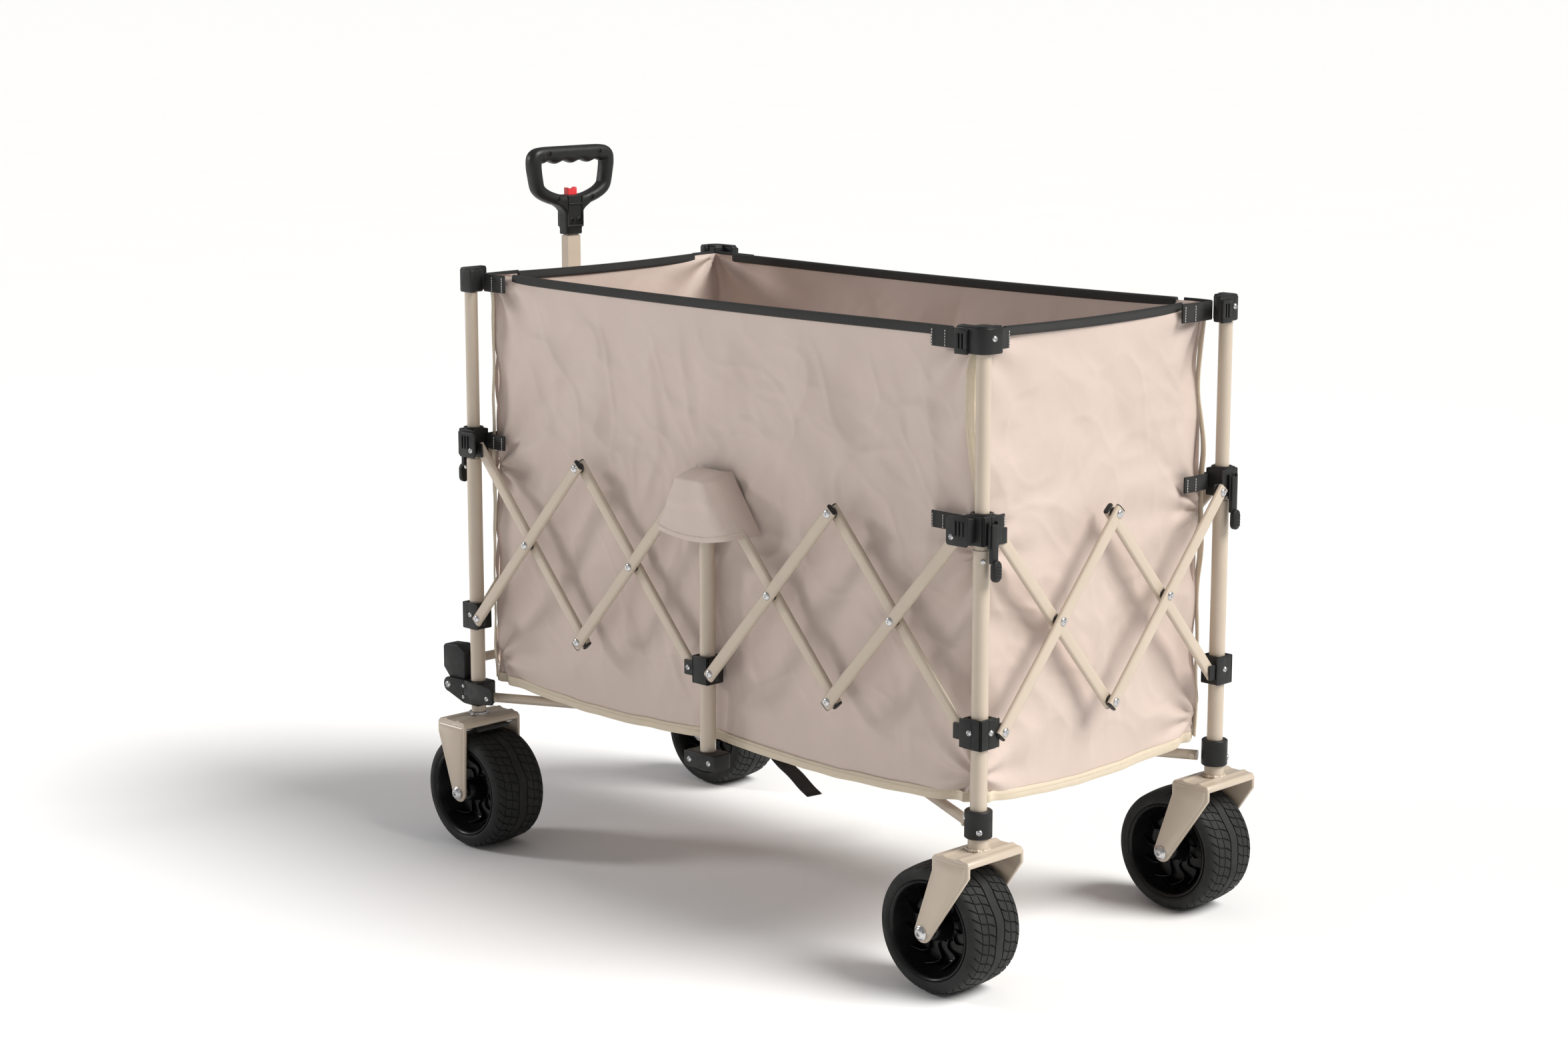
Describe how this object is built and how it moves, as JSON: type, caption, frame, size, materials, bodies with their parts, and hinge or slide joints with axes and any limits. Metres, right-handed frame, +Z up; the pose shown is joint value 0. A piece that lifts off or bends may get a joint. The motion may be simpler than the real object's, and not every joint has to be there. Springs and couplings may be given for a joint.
{
  "type": "folding beach cart",
  "caption": "Folding beach cart: scissor-braced steel frame, tall open fabric bag, fat beach wheels, front casters and a tilting, extending pull handle.",
  "frame": {"origin": "on the ground, under the middle of the whole cart's box", "axes": "+X forward towards the handle, +Y to the cart's left, +Z up"},
  "size_m": [1.103, 0.612, 1.026],
  "materials": {
    "bag_fabric": "satin woven polyester",
    "tyre_rubber": "matte black",
    "button_red": "gloss red",
    "black_plastic": "fine moulded grain",
    "beige_paint": "satin powder coat"
  },
  "bodies": {
    "rear_left_corner": {"corner_post_rear_left": "beige_paint", "corner_fittings_rear_left": "black_plastic", "fork_rear_left": "beige_paint", "bag": "bag_fabric"},
    "rear_right_corner": {"corner_post_rear_right": "beige_paint", "corner_fittings_rear_right": "black_plastic", "fork_rear_right": "beige_paint"},
    "front_left_corner": {"corner_post_front_left": "beige_paint", "corner_fittings_front_left": "black_plastic"},
    "front_right_corner": {"corner_post_front_right": "beige_paint", "corner_fittings_front_right": "black_plastic"},
    "slider_rear_left": {"slider_rear_left": "black_plastic"},
    "slider_front_left": {"slider_front_left": "black_plastic"},
    "slider_rear_right": {"slider_rear_right": "black_plastic"},
    "slider_front_right": {"slider_front_right": "black_plastic"},
    "middle_post_left": {"middle_post_left": "beige_paint"},
    "middle_slider_left": {"middle_slider_left": "black_plastic"},
    "middle_post_right": {"middle_post_right": "beige_paint"},
    "middle_slider_right": {"middle_slider_right": "black_plastic"},
    "left_rising_bar_1": {"left_rising_bar_1": "beige_paint"},
    "left_falling_bar_1": {"left_falling_bar_1": "beige_paint"},
    "left_rising_bar_2": {"left_rising_bar_2": "beige_paint"},
    "left_falling_bar_2": {"left_falling_bar_2": "beige_paint"},
    "left_rising_bar_3": {"left_rising_bar_3": "beige_paint"},
    "left_falling_bar_3": {"left_falling_bar_3": "beige_paint"},
    "left_rising_bar_4": {"left_rising_bar_4": "beige_paint"},
    "left_falling_bar_4": {"left_falling_bar_4": "beige_paint"},
    "rear_rising_bar_1": {"rear_rising_bar_1": "beige_paint"},
    "rear_falling_bar_1": {"rear_falling_bar_1": "beige_paint"},
    "rear_rising_bar_2": {"rear_rising_bar_2": "beige_paint"},
    "rear_falling_bar_2": {"rear_falling_bar_2": "beige_paint"},
    "right_rising_bar_1": {"right_rising_bar_1": "beige_paint"},
    "right_falling_bar_1": {"right_falling_bar_1": "beige_paint"},
    "right_rising_bar_2": {"right_rising_bar_2": "beige_paint"},
    "right_falling_bar_2": {"right_falling_bar_2": "beige_paint"},
    "right_rising_bar_3": {"right_rising_bar_3": "beige_paint"},
    "right_falling_bar_3": {"right_falling_bar_3": "beige_paint"},
    "right_rising_bar_4": {"right_rising_bar_4": "beige_paint"},
    "right_falling_bar_4": {"right_falling_bar_4": "beige_paint"},
    "front_rising_bar_1": {"front_rising_bar_1": "beige_paint"},
    "front_falling_bar_1": {"front_falling_bar_1": "beige_paint"},
    "front_rising_bar_2": {"front_rising_bar_2": "beige_paint"},
    "front_falling_bar_2": {"front_falling_bar_2": "beige_paint"},
    "floor_strut_rear_left": {"floor_strut_rear_left": "beige_paint"},
    "floor_strut_front_left": {"floor_strut_front_left": "beige_paint"},
    "floor_strut_rear_right": {"floor_strut_rear_right": "beige_paint"},
    "floor_strut_front_right": {"floor_strut_front_right": "beige_paint"},
    "floor_hub": {"floor_hub": "black_plastic"},
    "wheel_rear_left": {"wheel_rear_left": "tyre_rubber"},
    "caster_front_left": {"fork_front_left": "beige_paint"},
    "wheel_front_left": {"wheel_front_left": "tyre_rubber"},
    "wheel_rear_right": {"wheel_rear_right": "tyre_rubber"},
    "caster_front_right": {"fork_front_right": "beige_paint"},
    "wheel_front_right": {"wheel_front_right": "tyre_rubber"},
    "handle_base": {"handle_base": "black_plastic"},
    "handle_tube": {"handle_outer_tube": "beige_paint"},
    "handle_slide": {"handle_inner_tube": "beige_paint", "grip": "black_plastic"},
    "release_button": {"release_button": "button_red"}
  },
  "joints": [
    {"name": "fold", "type": "hinge", "parent": "rear_left_corner", "child": "left_rising_bar_1", "pos_m": [-0.4865, 0.259, 0.347], "axis": [0, -1, 0], "range_deg": [0, 30], "deforming": ["bag"]},
    {"name": "left_crossing_1", "type": "hinge", "parent": "left_rising_bar_1", "child": "left_falling_bar_1", "pos_m": [-0.3755, 0.259, 0.4725], "axis": [0, -1, 0], "range_deg": [-60, 0]},
    {"name": "left_chain_2", "type": "hinge", "parent": "left_rising_bar_1", "child": "left_falling_bar_2", "pos_m": [-0.2645, 0.259, 0.598], "axis": [0, -1, 0], "range_deg": [-60, 0]},
    {"name": "left_crossing_2", "type": "hinge", "parent": "left_falling_bar_2", "child": "left_rising_bar_2", "pos_m": [-0.1535, 0.259, 0.4725], "axis": [0, -1, 0], "range_deg": [0, 60]},
    {"name": "left_middle_slider_pivot", "type": "hinge", "parent": "left_falling_bar_2", "child": "middle_slider_left", "pos_m": [-0.0425, 0.259, 0.347], "axis": [0, -1, 0], "range_deg": [0, 30]},
    {"name": "left_middle_post_pivot", "type": "hinge", "parent": "left_rising_bar_2", "child": "middle_post_left", "pos_m": [-0.0425, 0.259, 0.598], "axis": [0, -1, 0], "range_deg": [-30, 0]},
    {"name": "left_chain_3", "type": "hinge", "parent": "middle_post_left", "child": "left_falling_bar_3", "pos_m": [0.0075, 0.259, 0.598], "axis": [0, -1, 0], "range_deg": [-30, 0]},
    {"name": "left_crossing_3", "type": "hinge", "parent": "left_falling_bar_3", "child": "left_rising_bar_3", "pos_m": [0.1185, 0.259, 0.4725], "axis": [0, -1, 0], "range_deg": [0, 60]},
    {"name": "left_chain_4", "type": "hinge", "parent": "left_falling_bar_3", "child": "left_rising_bar_4", "pos_m": [0.2295, 0.259, 0.347], "axis": [0, -1, 0], "range_deg": [0, 60]},
    {"name": "left_crossing_4", "type": "hinge", "parent": "left_rising_bar_4", "child": "left_falling_bar_4", "pos_m": [0.3405, 0.259, 0.4725], "axis": [0, -1, 0], "range_deg": [-60, 0]},
    {"name": "left_end_pivot", "type": "hinge", "parent": "left_falling_bar_4", "child": "front_left_corner", "pos_m": [0.4515, 0.259, 0.347], "axis": [0, -1, 0], "range_deg": [0, 30]},
    {"name": "slider_rear_left_pivot", "type": "hinge", "parent": "left_falling_bar_1", "child": "slider_rear_left", "pos_m": [-0.4865, 0.259, 0.598], "axis": [0, -1, 0], "range_deg": [0, 30]},
    {"name": "slider_front_left_pivot", "type": "hinge", "parent": "left_rising_bar_4", "child": "slider_front_left", "pos_m": [0.4515, 0.259, 0.598], "axis": [0, -1, 0], "range_deg": [-30, 0]},
    {"name": "rear_chain_1", "type": "hinge", "parent": "rear_left_corner", "child": "rear_rising_bar_1", "pos_m": [-0.5235, 0.222, 0.347], "axis": [-1, 0, 0], "range_deg": [0, 30]},
    {"name": "rear_crossing_1", "type": "hinge", "parent": "rear_rising_bar_1", "child": "rear_falling_bar_1", "pos_m": [-0.5235, 0.111, 0.4725], "axis": [-1, 0, 0], "range_deg": [-60, 0]},
    {"name": "rear_chain_2", "type": "hinge", "parent": "rear_rising_bar_1", "child": "rear_falling_bar_2", "pos_m": [-0.5235, 0, 0.598], "axis": [-1, 0, 0], "range_deg": [-60, 0]},
    {"name": "rear_crossing_2", "type": "hinge", "parent": "rear_falling_bar_2", "child": "rear_rising_bar_2", "pos_m": [-0.5235, -0.111, 0.4725], "axis": [-1, 0, 0], "range_deg": [0, 60]},
    {"name": "rear_end_pivot", "type": "hinge", "parent": "rear_falling_bar_2", "child": "rear_right_corner", "pos_m": [-0.5235, -0.222, 0.347], "axis": [-1, 0, 0], "range_deg": [0, 30]},
    {"name": "slider_rear_right_pivot", "type": "hinge", "parent": "rear_rising_bar_2", "child": "slider_rear_right", "pos_m": [-0.5235, -0.222, 0.598], "axis": [-1, 0, 0], "range_deg": [-30, 0]},
    {"name": "right_chain_1", "type": "hinge", "parent": "rear_right_corner", "child": "right_rising_bar_1", "pos_m": [-0.4865, -0.259, 0.347], "axis": [0, -1, 0], "range_deg": [0, 30]},
    {"name": "right_crossing_1", "type": "hinge", "parent": "right_rising_bar_1", "child": "right_falling_bar_1", "pos_m": [-0.3755, -0.259, 0.4725], "axis": [0, -1, 0], "range_deg": [-60, 0]},
    {"name": "right_chain_2", "type": "hinge", "parent": "right_rising_bar_1", "child": "right_falling_bar_2", "pos_m": [-0.2645, -0.259, 0.598], "axis": [0, -1, 0], "range_deg": [-60, 0]},
    {"name": "right_crossing_2", "type": "hinge", "parent": "right_falling_bar_2", "child": "right_rising_bar_2", "pos_m": [-0.1535, -0.259, 0.4725], "axis": [0, -1, 0], "range_deg": [0, 60]},
    {"name": "right_middle_slider_pivot", "type": "hinge", "parent": "right_falling_bar_2", "child": "middle_slider_right", "pos_m": [-0.0425, -0.259, 0.347], "axis": [0, -1, 0], "range_deg": [0, 30]},
    {"name": "right_middle_post_pivot", "type": "hinge", "parent": "right_rising_bar_2", "child": "middle_post_right", "pos_m": [-0.0425, -0.259, 0.598], "axis": [0, -1, 0], "range_deg": [-30, 0]},
    {"name": "right_chain_3", "type": "hinge", "parent": "middle_post_right", "child": "right_falling_bar_3", "pos_m": [0.0075, -0.259, 0.598], "axis": [0, -1, 0], "range_deg": [-30, 0]},
    {"name": "right_crossing_3", "type": "hinge", "parent": "right_falling_bar_3", "child": "right_rising_bar_3", "pos_m": [0.1185, -0.259, 0.4725], "axis": [0, -1, 0], "range_deg": [0, 60]},
    {"name": "right_chain_4", "type": "hinge", "parent": "right_falling_bar_3", "child": "right_rising_bar_4", "pos_m": [0.2295, -0.259, 0.347], "axis": [0, -1, 0], "range_deg": [0, 60]},
    {"name": "right_crossing_4", "type": "hinge", "parent": "right_rising_bar_4", "child": "right_falling_bar_4", "pos_m": [0.3405, -0.259, 0.4725], "axis": [0, -1, 0], "range_deg": [-60, 0]},
    {"name": "right_end_pivot", "type": "hinge", "parent": "right_falling_bar_4", "child": "front_right_corner", "pos_m": [0.4515, -0.259, 0.347], "axis": [0, -1, 0], "range_deg": [0, 30]},
    {"name": "slider_front_right_pivot", "type": "hinge", "parent": "right_rising_bar_4", "child": "slider_front_right", "pos_m": [0.4515, -0.259, 0.598], "axis": [0, -1, 0], "range_deg": [-30, 0]},
    {"name": "front_chain_1", "type": "hinge", "parent": "front_left_corner", "child": "front_rising_bar_1", "pos_m": [0.4885, 0.222, 0.347], "axis": [-1, 0, 0], "range_deg": [0, 30]},
    {"name": "front_crossing_1", "type": "hinge", "parent": "front_rising_bar_1", "child": "front_falling_bar_1", "pos_m": [0.4885, 0.111, 0.4725], "axis": [-1, 0, 0], "range_deg": [-60, 0]},
    {"name": "front_chain_2", "type": "hinge", "parent": "front_rising_bar_1", "child": "front_falling_bar_2", "pos_m": [0.4885, 0, 0.598], "axis": [-1, 0, 0], "range_deg": [-60, 0]},
    {"name": "front_crossing_2", "type": "hinge", "parent": "front_falling_bar_2", "child": "front_rising_bar_2", "pos_m": [0.4885, -0.111, 0.4725], "axis": [-1, 0, 0], "range_deg": [0, 60]},
    {"name": "floor_strut_rear_left_hinge", "type": "hinge", "parent": "rear_left_corner", "child": "floor_strut_rear_left", "pos_m": [-0.48467, 0.23358, 0.222], "axis": [-0.4472, -0.8944, 0], "range_deg": [0, 75]},
    {"name": "floor_strut_front_left_hinge", "type": "hinge", "parent": "front_left_corner", "child": "floor_strut_front_left", "pos_m": [0.44967, 0.23358, 0.222], "axis": [-0.4472, 0.8944, 0], "range_deg": [0, 75]},
    {"name": "floor_strut_rear_right_hinge", "type": "hinge", "parent": "rear_right_corner", "child": "floor_strut_rear_right", "pos_m": [-0.48467, -0.23358, 0.222], "axis": [0.4472, -0.8944, 0], "range_deg": [0, 75]},
    {"name": "floor_strut_front_right_hinge", "type": "hinge", "parent": "front_right_corner", "child": "floor_strut_front_right", "pos_m": [0.44967, -0.23358, 0.222], "axis": [0.4472, 0.8944, 0], "range_deg": [0, 75]},
    {"name": "floor_hub_hinge", "type": "hinge", "parent": "floor_strut_rear_left", "child": "floor_hub", "pos_m": [-0.10963, 0.04606, 0.222], "axis": [-0.4472, -0.8944, 0], "range_deg": [-75, 0]},
    {"name": "wheel_rear_left_spin", "type": "hinge", "parent": "rear_left_corner", "child": "wheel_rear_left", "pos_m": [-0.4655, 0.247, 0.086], "axis": [0, 1, 0], "continuous": true},
    {"name": "caster_left_swivel", "type": "hinge", "parent": "front_left_corner", "child": "caster_front_left", "pos_m": [0.4765, 0.247, 0.19], "axis": [0, 0, 1], "continuous": true},
    {"name": "wheel_front_left_spin", "type": "hinge", "parent": "caster_front_left", "child": "wheel_front_left", "pos_m": [0.4625, 0.247, 0.086], "axis": [0, 1, 0], "continuous": true},
    {"name": "wheel_rear_right_spin", "type": "hinge", "parent": "rear_right_corner", "child": "wheel_rear_right", "pos_m": [-0.4655, -0.247, 0.086], "axis": [0, 1, 0], "continuous": true},
    {"name": "caster_right_swivel", "type": "hinge", "parent": "front_right_corner", "child": "caster_front_right", "pos_m": [0.4765, -0.247, 0.19], "axis": [0, 0, 1], "continuous": true},
    {"name": "wheel_front_right_spin", "type": "hinge", "parent": "caster_front_right", "child": "wheel_front_right", "pos_m": [0.4625, -0.247, 0.086], "axis": [0, 1, 0], "continuous": true},
    {"name": "handle_base_pivot", "type": "hinge", "parent": "front_falling_bar_1", "child": "handle_base", "pos_m": [0.4885, 0, 0.347], "axis": [-1, 0, 0], "range_deg": [0, 30]},
    {"name": "handle_tilt", "type": "hinge", "parent": "handle_base", "child": "handle_tube", "pos_m": [0.5365, 0, 0.25], "axis": [0, 1, 0], "range_deg": [0, 80]},
    {"name": "handle_extension", "type": "slide", "parent": "handle_tube", "child": "handle_slide", "axis": [0, 0, 1], "range_m": [0, 0.35]},
    {"name": "button_press", "type": "slide", "parent": "handle_slide", "child": "release_button", "axis": [0, 0, -1], "range_m": [0, 0.003], "stiffness_N_per_m": 600, "springref_m": -0.001}
  ],
  "couplings": [
    {"joint": "left_crossing_1", "follows": "fold", "ratio": -2},
    {"joint": "left_chain_2", "follows": "fold", "ratio": -2},
    {"joint": "left_crossing_2", "follows": "fold", "ratio": 2},
    {"joint": "left_middle_slider_pivot", "follows": "fold", "ratio": 1},
    {"joint": "left_middle_post_pivot", "follows": "fold", "ratio": -1},
    {"joint": "left_chain_3", "follows": "fold", "ratio": -1},
    {"joint": "left_crossing_3", "follows": "fold", "ratio": 2},
    {"joint": "left_chain_4", "follows": "fold", "ratio": 2},
    {"joint": "left_crossing_4", "follows": "fold", "ratio": -2},
    {"joint": "left_end_pivot", "follows": "fold", "ratio": 1},
    {"joint": "slider_rear_left_pivot", "follows": "fold", "ratio": 1},
    {"joint": "slider_front_left_pivot", "follows": "fold", "ratio": -1},
    {"joint": "rear_chain_1", "follows": "fold", "ratio": 1},
    {"joint": "rear_crossing_1", "follows": "fold", "ratio": -2},
    {"joint": "rear_chain_2", "follows": "fold", "ratio": -2},
    {"joint": "rear_crossing_2", "follows": "fold", "ratio": 2},
    {"joint": "rear_end_pivot", "follows": "fold", "ratio": 1},
    {"joint": "slider_rear_right_pivot", "follows": "fold", "ratio": -1},
    {"joint": "right_chain_1", "follows": "fold", "ratio": 1},
    {"joint": "right_crossing_1", "follows": "fold", "ratio": -2},
    {"joint": "right_chain_2", "follows": "fold", "ratio": -2},
    {"joint": "right_crossing_2", "follows": "fold", "ratio": 2},
    {"joint": "right_middle_slider_pivot", "follows": "fold", "ratio": 1},
    {"joint": "right_middle_post_pivot", "follows": "fold", "ratio": -1},
    {"joint": "right_chain_3", "follows": "fold", "ratio": -1},
    {"joint": "right_crossing_3", "follows": "fold", "ratio": 2},
    {"joint": "right_chain_4", "follows": "fold", "ratio": 2},
    {"joint": "right_crossing_4", "follows": "fold", "ratio": -2},
    {"joint": "right_end_pivot", "follows": "fold", "ratio": 1},
    {"joint": "slider_front_right_pivot", "follows": "fold", "ratio": -1},
    {"joint": "front_chain_1", "follows": "fold", "ratio": 1},
    {"joint": "front_crossing_1", "follows": "fold", "ratio": -2},
    {"joint": "front_chain_2", "follows": "fold", "ratio": -2},
    {"joint": "front_crossing_2", "follows": "fold", "ratio": 2},
    {"joint": "floor_strut_rear_left_hinge", "follows": "fold", "ratio": 2.5},
    {"joint": "floor_strut_front_left_hinge", "follows": "fold", "ratio": 2.5},
    {"joint": "floor_strut_rear_right_hinge", "follows": "fold", "ratio": 2.5},
    {"joint": "floor_strut_front_right_hinge", "follows": "fold", "ratio": 2.5},
    {"joint": "floor_hub_hinge", "follows": "fold", "ratio": -2.5},
    {"joint": "handle_base_pivot", "follows": "fold", "ratio": 1}
  ]
}
